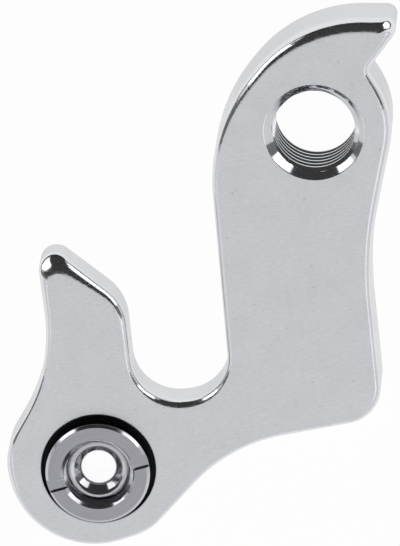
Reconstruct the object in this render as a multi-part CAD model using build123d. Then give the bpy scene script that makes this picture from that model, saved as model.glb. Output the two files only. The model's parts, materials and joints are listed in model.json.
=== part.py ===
from build123d import *
from math import radians, tan
import os

# Bicycle derailleur hanger: an aluminium plate with a threaded eye, an axle slot and a fixing lobe,
# and the slotted sleeve nut and hollow bolt that clamp the lobe to the frame.
# Millimetres and degrees. The origin is on the eye's axis, in the inboard face that the part lies on.
# +Z points outboard, and +Y runs up the axle slot to its open end.

# Plate
plate_thickness = 6.6
seat_thickness = 4.5
outboard_edge_round = 0.65
inboard_edge_chamfer = 0.3

# Derailleur eye: a fine metric thread, bored to its minor diameter, with a lead-in on the outboard side
eye_thread_diameter = 10.0
eye_thread_pitch = 1.0
eye_lead_in_diameter = 11.0
eye_lead_in_angle = 90.0

# Rear axle, from the eye, and the slot that it sits in
axle_x = -17.45
axle_y = -24.65
axle_slot_width = 10.5
axle_slot_floor_flat = 0.3

# Bridge under the slot: its corners, from the axle
heel = (21.65, -9.05)
heel_round = 4.2
belly = (4.55, -10.85)
belly_round = 18.0

# Prong, on the far side of the slot: its corners, from the axle
prong_tip = (-14.35, 15.25)
prong_tip_round = 1.8
prong_inner_height = 6.55
prong_inner_round = 5.9

# Fixing lobe: the bolt's axis from the axle, and the lobe's corners from the bolt's axis
fixing_x = -10.15
fixing_y = -12.25
lobe_foot = (4.8, -7.9)
lobe_foot_round = 6.5
lobe_toe = (-8.6, -11.1)
lobe_toe_round = 9.3
lobe_side = (-10.3, 2.5)
lobe_side_round = 7.1
neck = (-3.8, 11.8)
neck_round = 20.5

# Hook, eye and column: their corners, from the eye
brow = (-0.5, 12.9)
brow_round = 14.9
hook_tip = (11.1, 11.7)
hook_tip_round = 1.1
notch = (6.5, 6.4)
notch_round = 0.9
eye_side = (9.1, 1.2)
eye_side_round = 9.9
waist = (4.3, -15.0)
waist_round = 42.0
flank = (-11.6, 1.4)
flank_round = 20.0

# Shortest straight that two rounds of the outline leave between them
least_straight = 0.1

# Rounds that the polishing drum has worn wider than the rest of the outboard edge
brow_edge_round = 1.4
prong_edge_round = 0.95
prong_tip_edge_round = 1.9

# Frame seat: the inboard recess whose shoulder, round the axle, stops the hanger from turning
seat_shoulder_radius = 10.0

# Sleeve nut
nut_flange_diameter = 11.5
nut_flange_proud = 1.7
nut_flange_chamfer = 0.25
nut_barrel_diameter = 10.0
nut_barrel_setback = 0.3
nut_lead_in_diameter = 8.14
nut_lead_in_depth = 1.05
tool_slot_width = 1.4
tool_slot_depth = 0.9
tool_slot_angle = 11.0
counterbore_depth = 1.0
counterbore_clearance = 0.55
barrel_clearance = 0.05

# Fixing bolt: its thread, and the end that shows inside the nut
bolt_thread_diameter = 8.0
bolt_thread_pitch = 0.75
bolt_head_diameter = 12.0
bolt_head_thickness = 2.1
bolt_head_chamfer = 0.4
bolt_end_recess = 1.4
bolt_end_chamfer = 0.15
bolt_mouth_diameter = 5.7
bolt_mouth_depth = 1.45
bolt_hole_diameter = 3.6
hex_socket_width = 5.0
hex_socket_depth = 5.0
hex_socket_angle = 16.0

# Metric thread form: how far the nut's and the bolt's thread reach in from the diameter, in pitches
nut_thread_reach = 1.0825
bolt_thread_reach = 1.2268

# Margin by which cutting shapes reach past the solid that they cut
overcut = 1.0

# Levels and places worked out from the sizes above
seat_z = plate_thickness - seat_thickness
counterbore_z = plate_thickness - counterbore_depth
nut_face_z = plate_thickness + nut_flange_proud
bolt_end_z = nut_face_z - bolt_end_recess
eye_bore_radius = (eye_thread_diameter - nut_thread_reach * eye_thread_pitch) / 2
nut_bore_radius = (bolt_thread_diameter - nut_thread_reach * bolt_thread_pitch) / 2
bolt_core_radius = (bolt_thread_diameter - bolt_thread_reach * bolt_thread_pitch) / 2
slot_half_width = axle_slot_width / 2
slot_floor_round = slot_half_width - axle_slot_floor_flat / 2
axle_axis = Pos(axle_x, axle_y, 0)
fixing_axis = axle_axis * Pos(fixing_x, fixing_y, 0)


def from_axle(corner):
    return (axle_x + corner[0], axle_y + corner[1])


def from_fixing(corner):
    return from_axle((fixing_x + corner[0], fixing_y + corner[1]))


# Corners that the worn edges share with the outline
neck_corner = from_fixing(neck)
prong_tip_corner = from_axle(prong_tip)
prong_inner_corner = from_axle((-slot_half_width, prong_inner_height))


def fitted_rounds(corners):
    """The corners' rounds, each held down where two of them would run into each other on a side."""
    points = [Vector(*corner) for corner in corners]
    following = points[1:] + points[:1]
    preceding = points[-1:] + points[:-1]
    setbacks = []
    for point, last, next_one, radius in zip(points, preceding, following, corners.values()):
        opening = (last - point).get_angle(next_one - point)
        setbacks.append(radius / tan(radians(opening / 2)))
    room = []
    for point, next_one, near, far in zip(points, following, setbacks, setbacks[1:] + setbacks[:1]):
        straight = (next_one - point).length - least_straight
        room.append(min(1, straight / (near + far)))
    shares = [min(before, after) for before, after in zip(room[-1:] + room[:-1], room)]
    return {corner: corners[corner] * share for corner, share in zip(corners, shares)}


# The outline's corners and their rounds, clockwise as seen from outboard
rounds = fitted_rounds(
    {
        hook_tip: hook_tip_round,
        notch: notch_round,
        eye_side: eye_side_round,
        waist: waist_round,
        from_axle(heel): heel_round,
        from_axle(belly): belly_round,
        from_fixing(lobe_foot): lobe_foot_round,
        from_fixing(lobe_toe): lobe_toe_round,
        from_fixing(lobe_side): lobe_side_round,
        neck_corner: neck_round,
        prong_tip_corner: prong_tip_round,
        prong_inner_corner: prong_inner_round,
        from_axle((-slot_half_width, -slot_half_width)): slot_floor_round,
        from_axle((slot_half_width, -slot_half_width)): slot_floor_round,
        flank: flank_round,
        brow: brow_round,
    }
)


def plate_outline():
    return make_face(FilletPolyline(*rounds, radius=list(rounds.values()), close=True))


def seat_area():
    """The plan that the frame's dropout covers: round the axle, and all on the prong's side of it."""
    reach = plate_outline().bounding_box().diagonal
    below_axle = Rectangle(seat_shoulder_radius, reach, align=(Align.MIN, Align.MAX))
    prong_side = Rectangle(reach, 2 * reach, align=(Align.MAX, Align.CENTER))
    return axle_axis * (Circle(seat_shoulder_radius) + below_axle + prong_side)


def edge_relief(path, radius):
    """What a round takes off the outboard edge, along a path that runs clockwise round the plate."""
    along = path % 0
    section_plane = Plane(origin=path @ 0, x_dir=(along.Y, -along.X, 0), z_dir=along)
    corner = Pos(-overcut, -overcut) * Rectangle(radius + overcut, radius + overcut, align=Align.MIN)
    section = corner - Pos(radius, radius) * Circle(radius)
    return sweep(section_plane * section, path=path)


def outboard(point):
    return Vector(point.X, point.Y, plate_thickness)


def worn_edges():
    """The wide rounds on the brow, the prong's crest and its tip.

    Each path follows the outline and then runs straight on, so that its round fades out.
    """
    brow_corner = Vector(*brow)
    top_edge = (Vector(*hook_tip) - brow_corner).normalized()
    past_hook = Vector(*hook_tip) + top_edge * hook_tip_round
    brow_path = FilletPolyline(
        outboard(Vector(*flank)), outboard(brow_corner), outboard(past_hook), radius=[rounds[brow]]
    )

    tip_corner = Vector(*prong_tip_corner)
    crest_end = Vector(*prong_inner_corner)
    crest_path = Line(outboard(tip_corner), outboard(crest_end))

    neck_side = (Vector(*neck_corner) - tip_corner).normalized()
    crest_side = (crest_end - tip_corner).normalized()
    across = (crest_side - neck_side).normalized()
    inward = (crest_side + neck_side).normalized()
    sine_of_half_angle = (crest_side - neck_side).length / 2
    apex = tip_corner + inward * rounds[prong_tip_corner] * (1 / sine_of_half_angle - 1)
    reach = across * 2 * prong_tip_round
    tip_path = Line(outboard(apex - reach), outboard(apex + reach))

    return [
        edge_relief(brow_path, brow_edge_round),
        edge_relief(crest_path, prong_edge_round),
        edge_relief(tip_path, prong_tip_edge_round),
    ]


def inboard_edges(plate):
    """The plate's inboard edges, both levels, without the inner corner at the root of the seat's shoulder."""
    column_face, seat_face = plate.faces().filter_by(Axis.Z).sort_by(Axis.Z)[:2]
    shoulder = plate.faces().filter_by_position(Axis.Z, 0, seat_z, inclusive=(False, False))
    shoulder_edges = shoulder.edges()
    seat_edges = [
        edge
        for edge in seat_face.outer_wire().edges()
        if not any(edge.is_same(other) for other in shoulder_edges)
    ]
    return ShapeList([*column_face.outer_wire().edges(), *seat_edges])


def hanger_plate():
    plate = extrude(plate_outline(), plate_thickness)
    plate = fillet(plate.faces().sort_by(Axis.Z)[-1].outer_wire().edges(), outboard_edge_round)
    for relief in worn_edges():
        plate -= relief
    plate -= extrude(seat_area(), seat_z)
    plate = chamfer(inboard_edges(plate), inboard_edge_chamfer)
    plate -= Pos(0, 0, plate_thickness) * CounterSinkHole(
        radius=eye_bore_radius,
        counter_sink_radius=eye_lead_in_diameter / 2,
        depth=plate_thickness,
        counter_sink_angle=eye_lead_in_angle,
    )
    plate -= Pos(0, 0, plate_thickness) * fixing_axis * CounterBoreHole(
        radius=nut_barrel_diameter / 2 + barrel_clearance,
        counter_bore_radius=nut_flange_diameter / 2 + counterbore_clearance,
        counter_bore_depth=counterbore_depth,
        depth=plate_thickness,
    )
    return plate


def turned(*section):
    """A turned piece from its half section, given as radius and height."""
    return revolve(Plane.XZ * make_face(Polyline(*section, close=True)), Axis.Z)


def sleeve_nut():
    barrel_end_z = seat_z + nut_barrel_setback
    nut = turned(
        (nut_bore_radius, barrel_end_z),
        (nut_barrel_diameter / 2, barrel_end_z),
        (nut_barrel_diameter / 2, counterbore_z),
        (nut_flange_diameter / 2, counterbore_z),
        (nut_flange_diameter / 2, nut_face_z),
        (nut_lead_in_diameter / 2, nut_face_z),
        (nut_bore_radius, nut_face_z - nut_lead_in_depth),
    )
    flange_rim = nut.edges().group_by(Axis.Z)[-1].sort_by(SortBy.RADIUS)[-1]
    nut = chamfer(flange_rim, nut_flange_chamfer)
    tool_slot = Pos(0, 0, nut_face_z - tool_slot_depth) * Rot(0, 0, tool_slot_angle) * Box(
        nut_flange_diameter + 2 * overcut,
        tool_slot_width,
        tool_slot_depth + overcut,
        align=(Align.CENTER, Align.CENTER, Align.MIN),
    )
    return fixing_axis * (nut - tool_slot)


def fixing_bolt():
    head_z = seat_z - bolt_head_thickness
    bolt = turned(
        (bolt_hole_diameter / 2, head_z),
        (bolt_head_diameter / 2, head_z),
        (bolt_head_diameter / 2, seat_z),
        (bolt_core_radius, seat_z),
        (bolt_core_radius, bolt_end_z - bolt_end_chamfer),
        (bolt_core_radius - bolt_end_chamfer, bolt_end_z),
        (bolt_mouth_diameter / 2, bolt_end_z),
        (bolt_hole_diameter / 2, bolt_end_z - bolt_mouth_depth),
    )
    head_rim = bolt.edges().group_by(Axis.Z)[0].sort_by(SortBy.RADIUS)[-1]
    bolt = chamfer(head_rim, bolt_head_chamfer)
    hex_socket = RegularPolygon(radius=hex_socket_width / 2, side_count=6, major_radius=False)
    bolt -= Pos(0, 0, head_z) * Rot(0, 0, hex_socket_angle) * extrude(hex_socket, hex_socket_depth)
    return fixing_axis * bolt


nodes = {
    "hanger_plate": hanger_plate(),
    "sleeve_nut": sleeve_nut(),
    "fixing_bolt": fixing_bolt(),
}
os.makedirs("parts", exist_ok=True)
for name, solid in nodes.items():
    export_step(solid, f"parts/{name}.step")
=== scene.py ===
import json
from collections import namedtuple
from math import atan2, ceil, cos, hypot, pi, radians, sin, tan

import bmesh
import bpy
from mathutils import Matrix, Vector
from mathutils.geometry import delaunay_2d_cdt, intersect_line_line_2d


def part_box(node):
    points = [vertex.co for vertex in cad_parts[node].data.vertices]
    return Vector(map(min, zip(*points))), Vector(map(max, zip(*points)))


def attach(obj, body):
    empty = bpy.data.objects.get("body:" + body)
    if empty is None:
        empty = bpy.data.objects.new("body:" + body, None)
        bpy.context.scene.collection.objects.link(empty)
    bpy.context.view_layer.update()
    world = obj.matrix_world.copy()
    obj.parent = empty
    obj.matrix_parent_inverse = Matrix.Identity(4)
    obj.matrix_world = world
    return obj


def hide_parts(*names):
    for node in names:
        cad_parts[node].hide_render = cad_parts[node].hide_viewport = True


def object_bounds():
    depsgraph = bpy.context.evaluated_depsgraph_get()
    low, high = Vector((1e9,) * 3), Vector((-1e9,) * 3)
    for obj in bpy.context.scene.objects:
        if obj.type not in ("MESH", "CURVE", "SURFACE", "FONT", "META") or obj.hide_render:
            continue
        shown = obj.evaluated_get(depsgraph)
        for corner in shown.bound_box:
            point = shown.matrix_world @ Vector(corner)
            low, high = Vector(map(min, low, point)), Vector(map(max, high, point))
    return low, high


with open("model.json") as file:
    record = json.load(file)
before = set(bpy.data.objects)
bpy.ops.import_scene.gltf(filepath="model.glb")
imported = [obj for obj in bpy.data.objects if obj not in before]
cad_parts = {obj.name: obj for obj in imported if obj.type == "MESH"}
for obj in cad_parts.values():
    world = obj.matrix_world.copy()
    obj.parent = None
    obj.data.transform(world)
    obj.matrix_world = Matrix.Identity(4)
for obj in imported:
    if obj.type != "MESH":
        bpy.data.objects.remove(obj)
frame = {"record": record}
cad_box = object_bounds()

# Bicycle derailleur hanger: a tumbled aluminium plate, with the slotted sleeve nut and the hollow bolt
# in its fixing lobe. Lengths are in millimetres, in the frame's own axes, unless a name says otherwise.
MM = 0.001


# Places and levels that the frame gives

def in_mm(point):
    return [value / MM for value in point]


record = frame["record"]
mounts = {mount["name"]: mount for mount in record["mounts"]}
colours = {material["slot"]: material["base_color"] for material in record["materials"]}

plate_high = in_mm(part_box("hanger_plate")[1])
nut_low, nut_high = map(in_mm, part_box("sleeve_nut"))
bolt_low, bolt_high = map(in_mm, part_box("fixing_bolt"))
axle_x, axle_y, _ = in_mm(mounts["axle_slot"]["pos_m"])
seat_z = in_mm(mounts["frame_seat"]["pos_m"])[2]
face_z = plate_high[2]
nut_face_z = nut_high[2]
barrel_end_z = nut_low[2]
bolt_end_z = bolt_high[2]
bolt_head_z = bolt_low[2]
fixing_x = (nut_low[0] + nut_high[0]) / 2
fixing_y = (nut_low[1] + nut_high[1]) / 2
nut_flange_radius = (nut_high[0] - nut_low[0]) / 2
bolt_head_radius = (bolt_high[0] - bolt_low[0]) / 2
eye_minor_radius = mounts["derailleur_thread"]["dims"]["r_mm"]
eye = (0, 0)
fixing = (fixing_x, fixing_y)

# Plate. A bluntness of 1 makes the worn outboard edge a round, and 2 would make it a flat bevel. The edge is
# fully polished from a tilt of polish_ramp on. The frame covers the seat as far as its shoulder, and the
# inboard round fades out there.
brow_bluntness = 1.05
edge_bluntness = 1.3
tip_bluntness = 1.6
polish_ramp = radians(40)
wall_polish = 0.6
inboard_round = 0.3
seat_shoulder_radius = 10.0
shoulder_fade = 1.5

# Axle slot
slot_half_width = 5.25
slot_floor_round = 5.1

# Eye: a fine metric thread with a lead-in cone, whose rim is barely broken
eye_major_radius = 5.0
eye_pitch = 1.0
eye_thread_start = radians(180)
eye_lead_in_radius = 5.5
eye_lead_in_slope = 1.2
eye_rim_round = 0.22
eye_rim_height = 0.41

# Lobe: the counterbore that the nut's flange sinks into, and the hole for its barrel
counterbore_radius = 6.3
counterbore_z = 5.6
counterbore_rim_round = 0.12
barrel_hole_radius = 5.05

# Sleeve nut
nut_barrel_radius = 5.0
nut_barrel_chamfer = 0.3
nut_chamfer_width = 0.3
nut_chamfer_height = 0.32
nut_rim_round = 0.08
nut_mouth_radius = 4.07
nut_mouth_height = 0.06
nut_mouth_round = 0.03
nut_lead_in_slope = 1.0
tool_slot_width = 1.4
tool_slot_depth = 0.45
tool_slot_angle = radians(11.0)

# Fixing bolt
bolt_pitch = 0.75
bolt_major_radius = 4.0
nut_minor_radius = 3.594
thread_play = 0.03
bolt_neck_radius = 3.4
bolt_end_radius = 3.5
bolt_end_length = 0.5
bolt_end_round = 0.32
bolt_mouth_radius = 2.85
bolt_mouth_round = 0.9
bolt_mouth_depth = 0.95
bolt_throat_round = 0.8
bolt_hole_radius = 1.8
bolt_head_round = 0.4
hex_socket_width = 5.0
hex_socket_depth = 5.0
hex_socket_angle = radians(16.0)

# Fineness of the meshes. Points a hold beside a round keep the flats next to it shaded flat. Points that are
# closer than a weld become one.
outline_step = 0.32
outline_turn = radians(5)
wear_steps = 18
small_round_steps = 5
turning_steps = 180
rows_per_pitch = 16
hold = 0.03
weld = 0.0004
flat_tolerance = 0.0001
sharp_angle = radians(32)

# The output of delaunay_2d_cdt that fills a flat with triangles and leaves its holes open
FILL_LEAVING_HOLES = 2

# How the wear is evened out: in passes over its amount along the outline, and over its feet on the face.
# A loop of feet is looked for over tight_corner_points. Feet that stand closer than a share of the
# outline's own steps are bunched, and get passes of their own, with a margin of points at both ends.
tight_corner_points = 90
wear_passes = 30
foot_passes = 12
bunched_share = 0.4
bunched_passes = 300
bunched_margin = 14

# The plate's corners: place, round in plan, and the wear that the polishing drum left on the outboard edge
# there, which changes evenly along a corner's arc where several stages are given
Corner = namedtuple("Corner", "x y plan_round wear")


def worn(inset, drop=None, bluntness=edge_bluntness):
    """A stage of wear: how far it reaches in over the face and down the wall, and how blunt it is."""
    return inset, drop or inset, bluntness


def from_eye(x, y, plan_round, *wear):
    return Corner(x, y, plan_round, wear)


def from_axle(x, y, plan_round, *wear):
    return Corner(axle_x + x, axle_y + y, plan_round, wear)


def from_fixing(x, y, plan_round, *wear):
    return Corner(fixing_x + x, fixing_y + y, plan_round, wear)


corners_clockwise = {
    "hook tip": from_eye(
        11.1, 11.7, 1.1,
        worn(1.4, 1.5, brow_bluntness),
        worn(1.6, 1.7, tip_bluntness),
        worn(1.5, 1.6, tip_bluntness),
        worn(0.8),
    ),
    "notch": from_eye(6.5, 6.4, 0.9, worn(0.75), worn(0.6, 0.65)),
    "eye side": from_eye(9.1, 1.2, 9.9, worn(0.8, 0.9), worn(0.75, 0.8), worn(0.85)),
    "waist": from_eye(4.3, -15.0, 42.0, worn(0.8), worn(0.6)),
    "heel": from_axle(21.65, -9.05, 4.2, worn(0.6), worn(0.65), worn(0.55)),
    "belly": from_axle(4.55, -10.85, 18.0, worn(0.55)),
    "lobe foot": from_fixing(4.8, -7.9, 6.5, worn(0.5)),
    "lobe toe": from_fixing(-8.6, -11.1, 9.3, worn(0.45), worn(0.55), worn(0.8)),
    "lobe side": from_fixing(-10.3, 2.5, 7.1, worn(0.85), worn(0.75), worn(0.4)),
    "neck": from_fixing(-3.8, 11.8, 20.5, worn(0.35), worn(0.5), worn(0.65), worn(0.75)),
    "prong tip": from_axle(
        -14.35, 15.25, 1.8,
        worn(0.9, 1.0),
        worn(1.6, 1.75, tip_bluntness),
        worn(1.6, 1.75, tip_bluntness),
        worn(1.4, 1.3),
    ),
    "prong inner": from_axle(-slot_half_width, 6.55, 5.9, worn(0.8, 0.78), worn(0.65)),
    "slot floor left": from_axle(
        -slot_half_width, -slot_half_width, slot_floor_round,
        worn(0.6),
        worn(0.85),
    ),
    "slot floor right": from_axle(
        slot_half_width, -slot_half_width, slot_floor_round,
        worn(0.85),
        worn(0.6),
    ),
    "flank": from_eye(-11.6, 1.4, 20.0, worn(0.62), worn(0.68), worn(0.85), worn(1.05)),
    "brow": from_eye(
        -0.5, 12.9, 14.9,
        worn(1.15, 1.2, brow_bluntness),
        worn(1.35, 1.45, brow_bluntness),
        worn(1.45, 1.6, brow_bluntness),
        worn(1.45, 1.6, brow_bluntness),
    ),
}

# A point of the outline: its place, the way that the wall faces there, and the wear of the outboard edge
EdgePoint = namedtuple("EdgePoint", "x y out_x out_y inset drop bluntness", defaults=(0, 0, 1))


def ease(share):
    share = min(1, max(0, share))
    return share * share * (3 - 2 * share)


def between(first, last, share):
    return first + (last - first) * share


def mixed(first, last, share):
    """A point of the outline a share of the way from one to another."""
    return type(first)(*(between(a, b, share) for a, b in zip(first, last)))


def wear_along(stages, share):
    """The wear at a share of the way along its evenly spaced stages."""
    place = share * (len(stages) - 1)
    start = min(int(place), max(0, len(stages) - 2))
    first, last = stages[start], stages[min(start + 1, len(stages) - 1)]
    return [between(a, b, place - start) for a, b in zip(first, last)]


def softened(row, passes, closed=False):
    """A row of vectors, each drawn towards its neighbours in every pass. An open row keeps its ends."""
    for _ in range(passes):
        drawn = [(a + 2 * b + c) / 4 for a, b, c in zip(row[-1:] + row[:-1], row, row[1:] + row[:1])]
        row = drawn if closed else row[:1] + drawn[1:-1] + row[-1:]
    return row


def corner_arc(before, corner, after):
    """The points of a corner's arc, from the side that comes in to the side that goes out."""
    way_in = Vector((corner.x - before.x, corner.y - before.y)).normalized()
    way_out = Vector((after.x - corner.x, after.y - corner.y)).normalized()
    turn = atan2(way_in.x * way_out.y - way_in.y * way_out.x, way_in.dot(way_out))
    facing = atan2(way_in.x, -way_in.y)
    side = 1 if turn < 0 else -1
    setback = corner.plan_round * tan(abs(turn) / 2)
    start = Vector((corner.x, corner.y)) - way_in * setback
    centre = start - side * corner.plan_round * Vector((cos(facing), sin(facing)))
    steps = ceil(max(abs(turn) / outline_turn, abs(turn) * corner.plan_round / outline_step))
    points = []
    for step in range(steps + 1):
        angle = facing + turn * step / steps
        out = Vector((cos(angle), sin(angle)))
        place = centre + side * corner.plan_round * out
        points.append(EdgePoint(*place, *out, *wear_along(corner.wear, step / steps)))
    return points


def straight(first, last):
    """The points in even steps between two others, without these two."""
    steps = ceil(hypot(last.x - first.x, last.y - first.y) / outline_step)
    return [mixed(first, last, step / steps) for step in range(1, steps)]


def plate_outline():
    corners = list(corners_clockwise.values())
    arcs = [
        corner_arc(before, corner, after)
        for before, corner, after in zip(corners[-1:] + corners[:-1], corners, corners[1:] + corners[:1])
    ]
    points = []
    for arc, next_arc in zip(arcs, arcs[1:] + arcs[:1]):
        points += arc + straight(arc[-1], next_arc[0])
    wear = [Vector((point.inset, point.drop, point.bluntness)) for point in points]
    wear = softened(wear, wear_passes, closed=True)
    return [
        point._replace(inset=stage.x, drop=stage.y, bluntness=stage.z)
        for point, stage in zip(points, wear)
    ]


def past_shoulder(point):
    """How far a point lies outside the frame seat's shoulder, negative where the frame covers it."""
    right = point.x - axle_x
    if right < 0:
        return -seat_shoulder_radius
    return hypot(right, max(0, point.y - axle_y)) - seat_shoulder_radius


def shoulder_crossing(inside, outside):
    here = past_shoulder(inside)
    return mixed(inside, outside, here / (here - past_shoulder(outside)))


def split_at_shoulder(points):
    """The outline in two chains, the column's and the seat's, that share their ends on the shoulder."""
    covered = [past_shoulder(point) <= 0 for point in points]
    entry = next(i for i in range(len(points)) if covered[i] and not covered[i - 1])
    in_order = points[entry:] + points[:entry]
    count = sum(covered)
    seat, column = in_order[:count], in_order[count:]
    under_plate = shoulder_crossing(seat[0], column[-1])
    in_slot = shoulder_crossing(seat[-1], column[0])
    return [in_slot, *column, under_plate], [under_plate, *seat, in_slot]


# Skins: closed surfaces gathered from strips and flats. Each spot has a share of polish and of painted
# shade.
Spot = namedtuple("Spot", "x y z polish grime", defaults=(0, 0))


def new_skin():
    skin = bmesh.new()
    for share in ("polish", "grime"):
        skin.verts.layers.float.new(share)
    return skin


def new_point(skin, spot):
    point = skin.verts.new(spot[:3])
    shares = skin.verts.layers.float
    point[shares["polish"]] = spot.polish
    point[shares["grime"]] = spot.grime
    return point


def add_strip(skin, rings, closed=True):
    """Faces between each ring of spots and the next."""
    rows = [[new_point(skin, spot) for spot in ring] for ring in rings]
    count = len(rows[0])
    for upper, lower in zip(rows, rows[1:]):
        for i in range(count if closed else count - 1):
            j = (i + 1) % count
            skin.faces.new((upper[i], upper[j], lower[j], lower[i]))


def add_flat(skin, *loops):
    """A level face between its outer loop and the loops of its holes."""
    points = [Vector(spot[:2]) for loop in loops for spot in loop]
    numbers = iter(range(len(points)))
    faces = [[next(numbers) for _ in loop] for loop in loops]
    height = loops[0][0].z
    places, _, faces, *_ = delaunay_2d_cdt(points, [], faces, FILL_LEAVING_HOLES, flat_tolerance)
    corners = [new_point(skin, Spot(*place, height)) for place in places]
    for face in faces:
        skin.faces.new([corners[i] for i in face])


def finished_mesh(skin, name):
    """The skin as a mesh in metres, welded and facing outwards."""
    bmesh.ops.remove_doubles(skin, verts=skin.verts, dist=weld)
    bmesh.ops.recalc_face_normals(skin, faces=skin.faces)
    bmesh.ops.scale(skin, vec=(MM, MM, MM), verts=skin.verts)
    mesh = bpy.data.meshes.new(name)
    skin.to_mesh(mesh)
    skin.free()
    return mesh


def circle(centre, radius, height, polish=0, grime=0):
    angles = [2 * pi * step / turning_steps for step in range(turning_steps)]
    return [
        Spot(centre[0] + radius * cos(angle), centre[1] + radius * sin(angle), height, polish, grime)
        for angle in angles
    ]


def turned(x, y, angle):
    """A place turned about the origin."""
    return x * cos(angle) - y * sin(angle), x * sin(angle) + y * cos(angle)


def corner_round(last, corner, next_one, radius):
    """The arc that rounds a section's corner, with a holding point on the side before and after it."""
    to_last = (last - corner).normalized()
    to_next = (next_one - corner).normalized()
    half_angle = to_last.angle(to_next) / 2
    setback = radius / tan(half_angle)
    centre = corner + (to_last + to_next).normalized() * (radius / sin(half_angle))
    start = corner + to_last * setback - centre
    turn = pi - 2 * half_angle
    if to_last.cross(to_next) > 0:
        turn = -turn
    points = [corner + to_last * (setback + hold)]
    for step in range(small_round_steps + 1):
        angle = turn * step / small_round_steps
        points.append(centre + Vector(turned(*start, angle)))
    return points + [corner + to_next * (setback + hold)]


def turned_section(section):
    """A half section given as radius, height and corner round, with the rounds drawn as arcs."""
    places = [Vector(point[:2]) for point in section]
    points = []
    for i, point in enumerate(section):
        points += corner_round(*places[i - 1 : i + 2], point[2]) if len(point) > 2 else [places[i]]
    return points


def add_turning(skin, centre, *section, face=None, painted_shade_inside=False):
    """A half section swept round an axis, polished below a face, or given painted shade except at its two
    ends.
    """
    points = turned_section(section)
    rings = []
    for i, point in enumerate(points):
        polish = face is not None and point.y < face - weld
        grime = painted_shade_inside and 0 < i < len(points) - 1
        rings.append(circle(centre, point.x, point.y, polish, grime))
    add_strip(skin, rings)


# Node trees

def maths(tree, operation, *values):
    node = tree.nodes.new("ShaderNodeMath")
    node.operation = operation
    for socket, value in zip(node.inputs, values):
        if isinstance(value, bpy.types.NodeSocket):
            tree.links.new(value, socket)
        else:
            socket.default_value = value
    return node.outputs[0]


def new_node(tree, kind, inputs=None, **settings):
    """A node with its settings made, and its named inputs set or linked."""
    node = tree.nodes.new(kind)
    for name, value in settings.items():
        setattr(node, name, value)
    for name, value in (inputs or {}).items():
        if isinstance(value, bpy.types.NodeSocket):
            tree.links.new(value, node.inputs[name])
        else:
            node.inputs[name].default_value = value
    return node


# Screw threads, one node tree for the eye, the nut and the bolt

def screw_thread_tree():
    """A thread's surface: rows that climb one pitch a turn, cut level at both ends."""
    tree = bpy.data.node_groups.new("screw_thread", "GeometryNodeTree")
    sizes = ["Minor Radius", "Major Radius", "Pitch", "Bottom", "Top"]
    for name in sizes + ["Lead-in Radius", "Lead-in Slope", "Start Angle"]:
        tree.interface.new_socket(name, in_out="INPUT", socket_type="NodeSocketFloat")
    for name in ["Steps Around", "Rows"]:
        tree.interface.new_socket(name, in_out="INPUT", socket_type="NodeSocketInt")
    tree.interface.new_socket("Finish", in_out="INPUT", socket_type="NodeSocketMaterial")
    tree.interface.new_socket("Thread", in_out="OUTPUT", socket_type="NodeSocketGeometry")
    given = tree.nodes.new("NodeGroupInput").outputs

    # The grid is one unit wide each way: across it counts the turn, and up it the rows
    around = maths(tree, "ADD", given["Steps Around"], 1)
    upwards = maths(tree, "ADD", given["Rows"], 1)
    grid = new_node(tree, "GeometryNodeMeshGrid", {"Vertices X": around, "Vertices Y": upwards})
    position = new_node(tree, "GeometryNodeInputPosition").outputs["Position"]
    place = new_node(tree, "ShaderNodeSeparateXYZ", {"Vector": position})
    turns = maths(tree, "ADD", place.outputs["X"], 0.5)
    row = maths(tree, "MULTIPLY", maths(tree, "ADD", place.outputs["Y"], 0.5), given["Rows"])

    row_level = maths(tree, "DIVIDE", row, rows_per_pitch)
    climb = maths(tree, "ADD", row_level, maths(tree, "SUBTRACT", turns, 1))
    free_height = maths(tree, "MULTIPLY_ADD", climb, given["Pitch"], given["Bottom"])
    height = maths(tree, "MINIMUM", maths(tree, "MAXIMUM", free_height, given["Bottom"]), given["Top"])
    level = maths(tree, "DIVIDE", maths(tree, "SUBTRACT", height, given["Bottom"]), given["Pitch"])
    phase = maths(tree, "SUBTRACT", level, turns)

    # A metric thread is flat for a quarter of its pitch inside and an eighth outside
    half_inner_flat, flank = 2 / 16, 5 / 16
    from_crest = maths(tree, "PINGPONG", phase, 0.5)
    up_flank = maths(tree, "DIVIDE", maths(tree, "SUBTRACT", from_crest, half_inner_flat), flank)
    share = maths(tree, "MINIMUM", maths(tree, "MAXIMUM", up_flank, 0), 1)
    depth = maths(tree, "SUBTRACT", given["Major Radius"], given["Minor Radius"])
    thread_radius = maths(tree, "MULTIPLY_ADD", share, depth, given["Minor Radius"])
    below_top = maths(tree, "SUBTRACT", given["Top"], height)
    fall = maths(tree, "MULTIPLY", below_top, given["Lead-in Slope"])
    cone_radius = maths(tree, "SUBTRACT", given["Lead-in Radius"], fall)
    radius = maths(tree, "MAXIMUM", thread_radius, cone_radius)

    angle = maths(tree, "MULTIPLY_ADD", turns, 2 * pi, given["Start Angle"])
    right = maths(tree, "MULTIPLY", radius, maths(tree, "COSINE", angle))
    up = maths(tree, "MULTIPLY", radius, maths(tree, "SINE", angle))
    spot = new_node(tree, "ShaderNodeCombineXYZ", {"X": right, "Y": up, "Z": height}).outputs["Vector"]
    above_foot = maths(tree, "GREATER_THAN", level, weld)
    making = {
        "GeometryNodeStoreNamedAttribute": {"Name": "polish", "Value": above_foot},
        "GeometryNodeSetPosition": {"Position": spot},
        "GeometryNodeMergeByDistance": {"Distance": weld},
        "GeometryNodeRealizeInstances": {},
        "GeometryNodeSetMaterial": {"Material": given["Finish"]},
    }
    thread = grid.outputs["Mesh"]
    for kind, inputs in making.items():
        thread = new_node(tree, kind, {"Geometry": thread, **inputs}).outputs["Geometry"]
    new_node(tree, "NodeGroupOutput", {"Thread": thread})
    return tree


thread_tree = screw_thread_tree()


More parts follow.
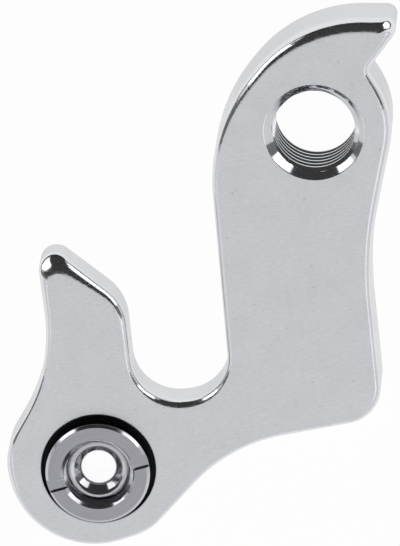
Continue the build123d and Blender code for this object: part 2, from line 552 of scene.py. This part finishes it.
def evaluated_mesh(holder):
    """A plain mesh of what an object's modifiers make, with the object removed."""
    depsgraph = bpy.context.evaluated_depsgraph_get()
    mesh = bpy.data.meshes.new_from_object(holder.evaluated_get(depsgraph))
    bpy.data.objects.remove(holder)
    return mesh


def new_object(name, data):
    holder = bpy.data.objects.new(name, data)
    bpy.context.scene.collection.objects.link(holder)
    return holder


def screw_thread(finish, minor, major, pitch, bottom, top, lead_in=(0, 0), start=0):
    """A thread's surface between two heights, with the radius and slope of a lead-in cone at its top."""
    holder = new_object("thread", bpy.data.meshes.new("thread"))
    modifier = holder.modifiers.new("thread", "NODES")
    modifier.node_group = thread_tree
    values = {
        "Minor Radius": minor,
        "Major Radius": major,
        "Pitch": pitch,
        "Bottom": bottom,
        "Top": top,
        "Lead-in Radius": lead_in[0],
        "Lead-in Slope": lead_in[1],
        "Start Angle": start,
        "Steps Around": turning_steps,
        "Rows": ceil((top - bottom) / pitch + 1) * rows_per_pitch,
        "Finish": finish,
    }
    for socket in thread_tree.interface.items_tree:
        if socket.in_out == "INPUT":
            value = values[socket.name]
            modifier[socket.identifier] = float(value) if socket.socket_type == "NodeSocketFloat" else value
    return evaluated_mesh(holder)


def add_thread(skin, centre, thread):
    """Adds a thread's surface at its axis, and gives its lowest and highest rings of spots."""
    for point in thread.vertices:
        point.co.x += centre[0]
        point.co.y += centre[1]
    skin.from_mesh(thread)
    heights = [point.co.z for point in thread.vertices]
    rings = []
    for end in (min(heights), max(heights)):
        ring = [Spot(*point.co) for point in thread.vertices if abs(point.co.z - end) < weld]
        ring.sort(key=lambda spot: atan2(spot.y - centre[1], spot.x - centre[0]))
        rings.append(ring)
    return rings


def milled(mesh, tool_mesh):
    """The mesh with a tool's shape taken out of it."""
    piece = new_object("milled", mesh)
    tool = new_object("tool", tool_mesh)
    cut = piece.modifiers.new("cut", "BOOLEAN")
    cut.operation = "DIFFERENCE"
    cut.solver = "EXACT"
    cut.object = tool
    result = evaluated_mesh(piece)
    bpy.data.objects.remove(tool)
    return result


# Finishes. The two effects that all three metals share are node groups, in millimetres. Contrasts and
# darkenings are shares of a metal's colour. Heights and depths are shares of its relief. The smallest pits
# have least_pit of the size that is asked for.
polished_roughness = 0.09
satin_roughness = 0.33
nick_roughness = 0.35
# Painted shade: the bore round the nut is made rough and its colour darkened nearly to black, standing in
# for the shadow in the gap round the flange
painted_shade_roughness = 0.6
ring_roughness = 0.06
streak_gain = 2.2
streak_contrast = 1.7
line_contrast = 0.08
ring_contrast = 0.1
blotch_contrast = 0.12
speck_darkening = 0.3
painted_shade_darkening = 0.96
ripple_height = 2
line_height = 0.05
plate_speck_depth = 0.7
plate_relief = 0.02
steel_speck_depth = 0.5
steel_relief = 0.01
least_pit = 0.4


def new_effect(name, inputs, output):
    """An empty shader group with one vector input, further number inputs and one number output."""
    tree = bpy.data.node_groups.new(name, "ShaderNodeTree")
    tree.interface.new_socket("Place", in_out="INPUT", socket_type="NodeSocketVector")
    for number in inputs:
        tree.interface.new_socket(number, in_out="INPUT", socket_type="NodeSocketFloat")
    tree.interface.new_socket(output, in_out="OUTPUT", socket_type="NodeSocketFloat")
    return tree, tree.nodes.new("NodeGroupInput").outputs


def brush_lines_effect():
    """Fine lines that lie across the Y axis of their place, with a number of them to the millimetre."""
    tree, given = new_effect("brush_lines", ["Fineness", "Stretch"], "Lines")
    along = maths(tree, "DIVIDE", given["Fineness"], given["Stretch"])
    scale = {"X": along, "Y": given["Fineness"], "Z": along}
    scale = new_node(tree, "ShaderNodeCombineXYZ", scale).outputs[0]
    place = new_node(tree, "ShaderNodeVectorMath", operation="MULTIPLY")
    tree.links.new(given["Place"], place.inputs[0])
    tree.links.new(scale, place.inputs[1])
    noise = new_node(tree, "ShaderNodeTexNoise", {"Vector": place.outputs[0], "Scale": 1, "Detail": 2})
    spread = {"Value": noise.outputs[0], "From Min": 0.3, "From Max": 0.7}
    new_node(tree, "NodeGroupOutput", {"Lines": new_node(tree, "ShaderNodeMapRange", spread).outputs[0]})
    return tree


def pits_effect():
    """Small round pits, in a share of the cells that the surface is divided into."""
    tree, given = new_effect("pits", ["Spacing", "Size", "Share"], "Pits")
    scale = maths(tree, "DIVIDE", 1, given["Spacing"])
    cells = new_node(tree, "ShaderNodeTexVoronoi", {"Vector": given["Place"], "Scale": scale})
    number = new_node(tree, "ShaderNodeSeparateColor", {"Color": cells.outputs["Color"]}).outputs["Red"]
    chosen = maths(tree, "LESS_THAN", number, given["Share"])
    size = maths(tree, "MULTIPLY", given["Size"], maths(tree, "ADD", number, least_pit))
    dip = {"Value": cells.outputs["Distance"], "From Max": size, "To Min": 1, "To Max": 0}
    dip = new_node(tree, "ShaderNodeMapRange", dip, interpolation_type="SMOOTHSTEP").outputs[0]
    new_node(tree, "NodeGroupOutput", {"Pits": maths(tree, "MULTIPLY", chosen, dip)})
    return tree


brush_lines = brush_lines_effect()
pits = pits_effect()


def effect(tree, group, **inputs):
    return new_node(tree, "ShaderNodeGroup", inputs, node_tree=group).outputs[0]


def new_metal(name, grazing_tint):
    """A bare metal, with what its finish is built on: the tree, the shader and the place in millimetres."""
    material = bpy.data.materials.new(name)
    material.use_nodes = True
    tree = material.node_tree
    shader = tree.nodes["Principled BSDF"]
    shader.inputs["Metallic"].default_value = 1
    shader.inputs["Specular Tint"].default_value = (grazing_tint, grazing_tint, grazing_tint, 1)
    own_place = new_node(tree, "ShaderNodeTexCoord").outputs["Object"]
    in_millimetres = {"Vector": own_place, "Scale": 1 / MM}
    place = new_node(tree, "ShaderNodeVectorMath", in_millimetres, operation="SCALE").outputs[0]
    return material, tree, shader, place


def share_of(tree, name):
    return new_node(tree, "ShaderNodeAttribute", attribute_name=name).outputs["Fac"]


def set_surface(tree, shader, slot, tone, roughness, relief, relief_mm):
    """Gives a metal its toned colour, roughness and fine relief."""
    toned = {"Vector": colours[slot], "Scale": tone}
    colour = new_node(tree, "ShaderNodeVectorMath", toned, operation="SCALE").outputs[0]
    raised = {"Height": relief, "Distance": relief_mm * MM}
    bump = new_node(tree, "ShaderNodeBump", raised).outputs["Normal"]
    tree.links.new(colour, shader.inputs["Base Color"])
    tree.links.new(roughness, shader.inputs["Roughness"])
    tree.links.new(bump, shader.inputs["Normal"])


def tumbled_aluminium():
    """Satin faces with fine lines and pits, edges polished in streaks, and painted shade darkening the bore
    round the nut.
    """
    material, tree, shader, place = new_metal("tumbled_aluminium", grazing_tint=0.78)
    lines = effect(tree, brush_lines, Place=place, Fineness=4.5, Stretch=2.5)
    specks = effect(tree, pits, Place=place, Spacing=1.1, Size=0.2, Share=0.35)
    nicks = effect(tree, pits, Place=place, Spacing=0.4, Size=0.45, Share=0.3)
    ripples = new_node(tree, "ShaderNodeTexNoise", {"Vector": place, "Scale": 3, "Detail": 2}).outputs[0]
    blotches = new_node(tree, "ShaderNodeTexNoise", {"Vector": place, "Scale": 0.3, "Detail": 3}).outputs[0]
    polish = share_of(tree, "polish")
    grime = share_of(tree, "grime")

    streaks = maths(tree, "MULTIPLY_ADD", lines, -streak_contrast, streak_gain)
    shine = maths(tree, "MINIMUM", maths(tree, "MULTIPLY", polish, streaks), 1)
    satin = maths(tree, "SUBTRACT", 1, shine)
    roughness = maths(tree, "MULTIPLY_ADD", satin, satin_roughness - polished_roughness, polished_roughness)
    roughness = maths(tree, "MULTIPLY_ADD", nicks, nick_roughness, roughness)
    roughness = maths(tree, "MAXIMUM", roughness, maths(tree, "MULTIPLY", grime, painted_shade_roughness))

    lined = maths(tree, "MULTIPLY_ADD", lines, line_contrast, -line_contrast / 2)
    lined = maths(tree, "MULTIPLY", lined, satin)
    mottled = maths(tree, "MULTIPLY_ADD", blotches, blotch_contrast, 1 - blotch_contrast / 2)
    speckled = maths(tree, "MULTIPLY_ADD", specks, -speck_darkening, maths(tree, "ADD", mottled, lined))
    # Painted shade: the colour falls nearly to black in the bore round the nut, where the gap round the
    # flange lies in shadow
    painted_shade_tone = maths(tree, "MULTIPLY_ADD", grime, -painted_shade_darkening, 1)
    tone = maths(tree, "MULTIPLY", speckled, painted_shade_tone)

    # Ripples stand where the polish is half done, and pits fade out where the metal shines
    half_polished = maths(tree, "PINGPONG", polish, 0.5)
    rippled = maths(tree, "MULTIPLY", ripples, half_polished)
    pitted = maths(tree, "MULTIPLY", specks, satin)
    relief = maths(tree, "MULTIPLY", lines, line_height)
    relief = maths(tree, "MULTIPLY_ADD", rippled, ripple_height, relief)
    relief = maths(tree, "MULTIPLY_ADD", pitted, -plate_speck_depth, relief)
    set_surface(tree, shader, "plate", tone, roughness, relief, plate_relief)
    return material


def turned_steel(name, slot, roughness, lift, grazing_tint):
    """Plated steel with fine rings round the fixing's axis. Lift brightens what is polished."""
    material, tree, shader, place = new_metal(name, grazing_tint)
    spoke = new_node(tree, "ShaderNodeVectorMath", operation="SUBTRACT")
    tree.links.new(place, spoke.inputs[0])
    spoke.inputs[1].default_value = (fixing_x, fixing_y, 0)
    axes = new_node(tree, "ShaderNodeSeparateXYZ", {"Vector": spoke.outputs[0]}).outputs
    up_squared = maths(tree, "MULTIPLY", axes["Y"], axes["Y"])
    radius = maths(tree, "SQRT", maths(tree, "MULTIPLY_ADD", axes["X"], axes["X"], up_squared))
    across = maths(tree, "ADD", radius, axes["Z"])
    right, up = (maths(tree, "DIVIDE", axes[axis], radius) for axis in "XY")
    ringwise = new_node(tree, "ShaderNodeCombineXYZ", {"X": right, "Y": across, "Z": up}).outputs[0]
    rings = effect(tree, brush_lines, Place=ringwise, Fineness=6, Stretch=6)
    specks = effect(tree, pits, Place=place, Spacing=0.8, Size=0.2, Share=0.2)

    tone = maths(tree, "MULTIPLY_ADD", rings, ring_contrast, 1 - ring_contrast)
    tone = maths(tree, "MULTIPLY_ADD", specks, -speck_darkening, tone)
    tone = maths(tree, "MULTIPLY_ADD", share_of(tree, "polish"), lift, tone)
    rough = maths(tree, "MULTIPLY_ADD", rings, ring_roughness, roughness)
    relief = maths(tree, "MULTIPLY", rings, line_height)
    relief = maths(tree, "MULTIPLY_ADD", specks, -steel_speck_depth, relief)
    set_surface(tree, shader, slot, tone, rough, relief, steel_relief)
    return material


plate_finish = tumbled_aluminium()
nut_finish = turned_steel("dark_plated_steel", "nut", roughness=0.1, lift=0.3, grazing_tint=0.78)
bolt_finish = turned_steel("bright_plated_steel", "bolt", roughness=0.08, lift=0.65, grazing_tint=1)


# Hanger plate

def without_loops(feet):
    """The feet with each loop that they make inside a tight corner drawn in to where it crosses itself."""
    last = len(feet) - 1
    for start in range(last):
        for end in range(min(start + tight_corner_points, last - 1), start + 1, -1):
            meeting = intersect_line_line_2d(feet[start], feet[start + 1], feet[end], feet[end + 1])
            if meeting:
                feet[start + 1 : end + 1] = [meeting] * (end - start)
                break
    return feet


def face_feet(points):
    """Where the wear ends on the face, evened out most where the feet bunch up inside a tip."""
    feet = []
    for point in points:
        feet.append(Vector((point.x - point.out_x * point.inset, point.y - point.out_y * point.inset)))
    feet = without_loops(feet)
    bunched = []
    for i in range(len(feet) - 1):
        step = hypot(points[i + 1].x - points[i].x, points[i + 1].y - points[i].y)
        if (feet[i + 1] - feet[i]).length < bunched_share * step:
            bunched.append(i)
    around = slice(max(0, bunched[0] - bunched_margin), bunched[-1] + bunched_margin)
    feet[around] = softened(feet[around], bunched_passes)
    return softened(feet, foot_passes)


def worn_spot(point, foot, tilt):
    """A spot of the worn edge, from its foot on the face at no tilt to the wall at a right angle."""
    inward = 1 - sin(tilt) ** point.bluntness
    height = face_z - point.drop * (1 - abs(cos(tilt)) ** point.bluntness)
    polish = ease(tilt / polish_ramp)
    return Spot(between(point.x, foot.x, inward), between(point.y, foot.y, inward), height, polish)


def outboard_rings(points):
    """The rings of the outboard edge's wear, from the face down to the wall."""
    feet = face_feet(points)
    on_face = []
    for point, foot in zip(points, feet):
        inward = foot - Vector(point[:2])
        on_face.append(Spot(*(foot + inward.normalized() * hold), face_z))
    rings = [on_face]
    for step in range(wear_steps + 1):
        tilt = pi / 2 * step / wear_steps
        rings.append([worn_spot(point, foot, tilt) for point, foot in zip(points, feet)])
    return rings + [[Spot(point.x, point.y, face_z - point.drop - hold, wall_polish) for point in points]]


def inset_ring(points, insets, heights, polish=wall_polish):
    """The outline drawn in, with an inset and a height at every point."""
    return [
        Spot(point.x - point.out_x * inset, point.y - point.out_y * inset, height, polish)
        for point, inset, height in zip(points, insets, heights)
    ]


def end_fades(points):
    """Shares that fall to nothing at both ends of a chain."""
    shares = []
    for point in points:
        gap = min(hypot(point.x - end.x, point.y - end.y) for end in (points[0], points[-1]))
        shares.append(ease(gap / shoulder_fade))
    return shares


def inboard_rings(points, level):
    """The rings of an inboard edge's round, down to the level that it meets, fading out at both ends."""
    shares = end_fades(points)
    profile = [(0, inboard_round + hold)]
    for step in range(small_round_steps + 1):
        tilt = pi / 2 * step / small_round_steps
        profile.append((inboard_round * (1 - cos(tilt)), inboard_round * (1 - sin(tilt))))
    rings = [
        inset_ring(points, [inset * share for share in shares], [level + rise * share for share in shares])
        for inset, rise in profile
    ]
    foot = [(inboard_round + hold) * share for share in shares]
    return rings + [inset_ring(points, foot, [level] * len(points), polish=0)]


def level_ring(points, height):
    return [Spot(point.x, point.y, height, wall_polish) for point in points]


def shoulder_foot(start, end):
    """The shoulder's foot, from the axle slot round the axle and straight down to the plate's underside."""
    sweep = atan2(start.y - axle_y, start.x - axle_x)
    steps = ceil(sweep * seat_shoulder_radius / outline_step)
    points = [EdgePoint(start.x, start.y, -cos(sweep), -sin(sweep))]
    for step in range(1, steps + 1):
        angle = sweep * (1 - step / steps)
        away = Vector((cos(angle), sin(angle)))
        place = Vector((axle_x, axle_y)) + seat_shoulder_radius * away
        points.append(EdgePoint(*place, *-away))
    last = EdgePoint(end.x, end.y, -1, 0)
    return points + straight(points[-1], last) + [last]


def add_eye(skin):
    """The threaded eye, with the loops that it leaves in the outboard and the inboard face."""
    rim_radius = eye_lead_in_radius - eye_rim_height * eye_lead_in_slope
    rim_z = face_z - eye_rim_height
    thread = screw_thread(
        plate_finish,
        eye_minor_radius,
        eye_major_radius,
        eye_pitch,
        bottom=0,
        top=rim_z,
        lead_in=(rim_radius, eye_lead_in_slope),
        start=eye_thread_start,
    )
    foot, _ = add_thread(skin, eye, thread)
    reach = eye_lead_in_radius + eye_rim_round
    rim = (eye_lead_in_radius, face_z, eye_rim_round)
    add_turning(skin, eye, (rim_radius, rim_z), rim, (reach, face_z), face=face_z)
    return circle(eye, reach, face_z), foot


def add_fixing_bore(skin):
    """The nut's bore, with painted shade inside, and the loops that it leaves in the outboard face and the
    seat.
    """
    reach = counterbore_radius + counterbore_rim_round + 2 * hold
    rim_foot = face_z - counterbore_rim_round - 2 * hold
    add_turning(
        skin,
        fixing,
        (reach, face_z),
        (counterbore_radius, face_z, counterbore_rim_round),
        (counterbore_radius, rim_foot),
    )
    add_turning(
        skin,
        fixing,
        (counterbore_radius, rim_foot),
        (counterbore_radius, rim_foot - hold),
        (counterbore_radius, counterbore_z),
        (barrel_hole_radius, counterbore_z),
        (barrel_hole_radius, seat_z + hold),
        (barrel_hole_radius, seat_z),
        # Painted shade on the bore's wall and floor, for the shadow in the gap round the nut's flange
        painted_shade_inside=True,
    )
    return circle(fixing, reach, face_z), circle(fixing, barrel_hole_radius, seat_z)


def hanger_plate():
    skin = new_skin()
    column, seat = split_at_shoulder(plate_outline())
    shoulder = shoulder_foot(seat[-1], seat[0])
    column_top, seat_top = outboard_rings(column), outboard_rings(seat)
    column_foot, seat_foot = inboard_rings(column, 0), inboard_rings(seat, seat_z)
    shoulder_edge = inboard_rings(shoulder, 0)
    shoulder_root = level_ring(shoulder, seat_z)
    rises = [(inboard_round + hold) * share for share in end_fades(column)]
    beside_seat = inset_ring(column, [0] * len(column), [seat_z + rise for rise in rises])

    add_strip(skin, column_top + [beside_seat, level_ring(column, seat_z)] + column_foot, closed=False)
    add_strip(skin, seat_top + seat_foot, closed=False)
    add_strip(skin, [shoulder_root] + shoulder_edge, closed=False)
    eye_rim, thread_foot = add_eye(skin)
    bore_rim, bore_foot = add_fixing_bore(skin)
    add_flat(skin, column_top[0][:-1] + seat_top[0][:-1], eye_rim, bore_rim)
    add_flat(skin, column_foot[-1][:-1] + shoulder_edge[-1][:0:-1], thread_foot)
    add_flat(skin, seat_foot[-1][:-1] + shoulder_root[:-1], bore_foot)
    return finished_mesh(skin, "hanger_plate")


# Sleeve nut and fixing bolt

def slot_tool():
    """The bar that cuts the nut's tool slot, as far below the nut's face as above it."""
    reach, half = 2 * nut_flange_radius, tool_slot_width / 2
    plan = [(-reach, -half), (reach, -half), (reach, half), (-reach, half)]
    corners = [turned(x, y, tool_slot_angle) for x, y in plan]
    rings = [
        [Spot(fixing_x + x, fixing_y + y, height, polish=1) for x, y in corners]
        for height in (nut_face_z - tool_slot_depth, nut_face_z + tool_slot_depth)
    ]
    skin = new_skin()
    add_strip(skin, rings)
    for ring in rings:
        add_flat(skin, ring)
    return finished_mesh(skin, "tool_slot")


def sleeve_nut():
    skin = new_skin()
    mouth_foot_radius = nut_mouth_radius - nut_mouth_height * nut_lead_in_slope
    mouth_foot_z = nut_face_z - nut_mouth_height
    thread = screw_thread(
        nut_finish,
        nut_minor_radius,
        bolt_major_radius,
        bolt_pitch,
        bottom=barrel_end_z,
        top=mouth_foot_z,
        lead_in=(mouth_foot_radius, nut_lead_in_slope),
    )
    thread_foot, _ = add_thread(skin, fixing, thread)
    end_radius = nut_barrel_radius - nut_barrel_chamfer
    add_turning(
        skin,
        fixing,
        (end_radius, barrel_end_z),
        (nut_barrel_radius, barrel_end_z + nut_barrel_chamfer),
        (nut_barrel_radius, counterbore_z),
        (nut_flange_radius, counterbore_z),
        (nut_flange_radius, nut_face_z - nut_chamfer_height, nut_rim_round),
        (nut_flange_radius - nut_chamfer_width, nut_face_z, nut_rim_round),
        (nut_mouth_radius, nut_face_z, nut_mouth_round),
        (mouth_foot_radius, mouth_foot_z),
        face=nut_face_z,
    )
    add_flat(skin, circle(fixing, end_radius, barrel_end_z), thread_foot)
    return milled(finished_mesh(skin, "sleeve_nut"), slot_tool())


def hex_loop(height, polish=0):
    reach = hex_socket_width / 2 / cos(pi / 6)
    angles = [hex_socket_angle + corner * pi / 3 for corner in range(6)]
    corners = [(fixing_x + reach * cos(angle), fixing_y + reach * sin(angle)) for angle in angles]
    return [Spot(x, y, height, polish) for x, y in corners]


def fixing_bolt():
    skin = new_skin()
    crown_z = bolt_end_z - bolt_end_length
    throat_z = bolt_end_z - bolt_mouth_depth
    socket_floor_z = bolt_head_z + hex_socket_depth
    head_flat_radius = bolt_head_radius - 2 * bolt_head_round
    minor, major = nut_minor_radius - thread_play, bolt_major_radius - thread_play
    thread = screw_thread(bolt_finish, minor, major, bolt_pitch, barrel_end_z, crown_z)
    thread_foot, thread_crown = add_thread(skin, fixing, thread)
    add_flat(skin, thread_foot, circle(fixing, bolt_neck_radius, barrel_end_z))
    add_flat(skin, thread_crown, circle(fixing, bolt_end_radius, crown_z))
    add_turning(
        skin,
        fixing,
        (bolt_end_radius, crown_z),
        (bolt_end_radius, bolt_end_z, bolt_end_round),
        (bolt_mouth_radius, bolt_end_z, bolt_mouth_round),
        (bolt_hole_radius, throat_z, bolt_throat_round),
        (bolt_hole_radius, socket_floor_z + hold),
        face=throat_z,
    )
    add_strip(skin, [
        circle(fixing, bolt_hole_radius, socket_floor_z + hold, polish=1),
        circle(fixing, bolt_hole_radius, socket_floor_z),
    ])
    add_flat(skin, hex_loop(socket_floor_z), circle(fixing, bolt_hole_radius, socket_floor_z))
    add_strip(skin, [
        hex_loop(socket_floor_z),
        hex_loop(socket_floor_z - hold, polish=1),
        hex_loop(bolt_head_z + hold, polish=1),
        hex_loop(bolt_head_z),
    ])
    add_flat(skin, circle(fixing, head_flat_radius, bolt_head_z), hex_loop(bolt_head_z))
    add_turning(
        skin,
        fixing,
        (head_flat_radius, bolt_head_z),
        (bolt_head_radius, bolt_head_z, bolt_head_round),
        (bolt_head_radius, seat_z),
        (bolt_neck_radius, seat_z),
        (bolt_neck_radius, barrel_end_z),
    )
    return finished_mesh(skin, "fixing_bolt")


def fit_piece(name, node, mesh, material):
    mesh.materials.clear()
    mesh.materials.append(material)
    mesh.shade_smooth()
    mesh.set_sharp_from_angle(angle=sharp_angle)
    piece = new_object(name, mesh)
    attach(piece, "root")
    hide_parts(node)


fit_piece("hanger_plate_tumbled", "hanger_plate", hanger_plate(), plate_finish)
fit_piece("sleeve_nut_turned", "sleeve_nut", sleeve_nut(), nut_finish)
fit_piece("fixing_bolt_turned", "fixing_bolt", fixing_bolt(), bolt_finish)


# Studio, in metres and degrees. A direction is the angle round +Z from +X, and the angle down from +Z.
floor_size = 6.0
floor_glow = 0.97
sheet_level = 0.95
sheet_roughness = 0.9
tent_colour = (0.74, 0.745, 0.755, 1)
black_level = 0.03
grey_level = 0.27

# Camera: a long lens, aimed at a place on the outboard face
camera_sensor_mm = 36
camera_lens_mm = 800
camera_clip_start = 0.1
camera_clip_end = 100
camera_turn = (radians(-20.05), radians(2.97), radians(-6.05))
camera_aim_mm = (-14.06, -15.10)
camera_distance = 1.3237

scene = bpy.context.scene
scene.view_settings.view_transform = "Standard"
middle = (Vector(cad_box[0]) + Vector(cad_box[1])) / 2


def new_sheet(name, material, width, height):
    """A flat rectangle on the origin that faces up."""
    x, y = width / 2, height / 2
    mesh = bpy.data.meshes.new(name)
    mesh.from_pydata([(-x, -y, 0), (x, -y, 0), (x, y, 0), (-x, y, 0)], [], [(0, 1, 2, 3)])
    mesh.materials.append(material)
    return new_object(name, mesh)


def pale_floor():
    """A white sheet: it shows white to the camera and in the metal, and keeps a soft shadow."""
    material = bpy.data.materials.new("white_sheet")
    material.use_nodes = True
    tree = material.node_tree
    shader = tree.nodes["Principled BSDF"]
    shader.inputs["Base Color"].default_value = (sheet_level, sheet_level, sheet_level, 1)
    shader.inputs["Roughness"].default_value = sheet_roughness
    shader.inputs["Specular IOR Level"].default_value = 0
    glow = new_node(tree, "ShaderNodeEmission").outputs["Emission"]
    rays = new_node(tree, "ShaderNodeLightPath").outputs
    seen = maths(tree, "MAXIMUM", rays["Is Camera Ray"], rays["Is Glossy Ray"])
    seen = maths(tree, "MAXIMUM", seen, rays["Is Transmission Ray"])
    mix = new_node(tree, "ShaderNodeMixShader", {"Fac": maths(tree, "MULTIPLY", seen, floor_glow)})
    tree.links.new(shader.outputs["BSDF"], mix.inputs[1])
    tree.links.new(glow, mix.inputs[2])
    tree.links.new(mix.outputs["Shader"], tree.nodes["Material Output"].inputs["Surface"])
    floor = new_sheet("floor", material, floor_size, floor_size)


def direction(azimuth, polar):
    flat = sin(radians(polar))
    return Vector((cos(radians(azimuth)) * flat, sin(radians(azimuth)) * flat, cos(radians(polar))))


def soft_box(name, azimuth, polar, distance, width, height, radiance):
    """A lamp that faces the part, equally bright at any size."""
    light = bpy.data.lights.new(name, "AREA")
    light.shape = "RECTANGLE"
    light.size = width
    light.size_y = height
    light.energy = radiance * pi * width * height
    lamp = new_object(name, light)
    lamp.location = middle + direction(azimuth, polar) * distance
    lamp.rotation_euler = direction(azimuth, polar).to_track_quat("Z", "Y").to_euler()
    lamp.visible_camera = False


def card_paper(name, level):
    material = bpy.data.materials.new(name)
    material.use_nodes = True
    shader = material.node_tree.nodes["Principled BSDF"]
    shader.inputs["Base Color"].default_value = (level, level, level, 1)
    return material


def dark_card(name, material, azimuth, polar, distance, width, height):
    """A card that faces the part and that the camera doesn't see."""
    card = new_sheet(name, material, width, height)
    facing = direction(azimuth, polar).to_track_quat("Z", "Y")
    place = middle + direction(azimuth, polar) * distance
    card.data.transform(Matrix.LocRotScale(place, facing, None))
    card.visible_camera = False


def light_tent():
    """The bright room round the part, with its lamps and the dark cards that the metal mirrors."""
    world = bpy.data.worlds.new("light_tent")
    scene.world = world
    world.use_nodes = True
    world.node_tree.nodes["Background"].inputs["Color"].default_value = tent_colour
    soft_box("back_left_box", azimuth=139, polar=72, distance=0.45, width=0.2, height=0.18, radiance=1.5)
    soft_box("back_right_box", azimuth=30, polar=72, distance=0.45, width=0.26, height=0.18, radiance=1.5)
    soft_box("front_left_box", azimuth=205, polar=56, distance=1.0, width=0.35, height=0.35, radiance=0.28)
    soft_box("front_right_box", azimuth=-30, polar=45, distance=1.0, width=0.6, height=0.6, radiance=0.38)
    black = card_paper("black_card", black_level)
    grey = card_paper("grey_card", grey_level)
    dark_card("overhead_card", black, azimuth=90, polar=39, distance=0.5, width=1.55, height=0.6)
    dark_card("rear_card", black, azimuth=88, polar=62, distance=2.0, width=2.6, height=2.2)
    dark_card("low_left_card", black, azimuth=130, polar=87, distance=2.0, width=2.4, height=0.26)
    dark_card("low_right_card", black, azimuth=36, polar=87, distance=2.0, width=1.6, height=0.26)
    dark_card("right_card", grey, azimuth=4, polar=56, distance=2.0, width=0.8, height=1.3)
    dark_card("left_card", grey, azimuth=171, polar=66, distance=2.0, width=0.7, height=1.3)


def photo_camera():
    """The photo's own view, from above and from the open end of the axle slot."""
    camera = bpy.data.cameras.new("camera")
    camera.sensor_width = camera_sensor_mm
    camera.lens = camera_lens_mm
    camera.clip_start = camera_clip_start
    camera.clip_end = camera_clip_end
    holder = new_object("camera", camera)
    holder.rotation_euler = camera_turn
    away = holder.rotation_euler.to_matrix() @ Vector((0, 0, 1))
    looked_at = Vector((*camera_aim_mm, face_z)) * MM
    holder.location = looked_at + away * camera_distance
    scene.camera = holder


pale_floor()
light_tent()
photo_camera()
